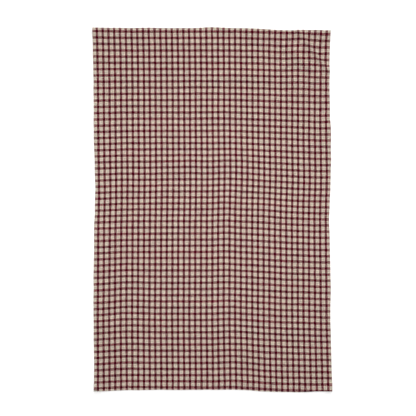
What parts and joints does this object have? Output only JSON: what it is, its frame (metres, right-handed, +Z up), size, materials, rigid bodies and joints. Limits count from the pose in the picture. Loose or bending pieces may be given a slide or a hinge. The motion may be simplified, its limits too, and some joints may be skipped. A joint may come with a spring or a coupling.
{
  "type": "tea towel",
  "caption": "Rectangular tea towel lying open and flat, in a small even woven check, narrowly hemmed all round.",
  "frame": {"origin": "on the surface that the towel lies on, under the middle of the towel's bounding box", "axes": "+Y along the towel's length, +X across its width, +Z up out of its face"},
  "size_m": [0.4704, 0.7166, 0.0039],
  "materials": {
    "checked_cotton": "matt yarn-dyed plain weave in burgundy and tan"
  },
  "bodies": {
    "root": {"towel": "checked_cotton"}
  },
  "joints": []
}
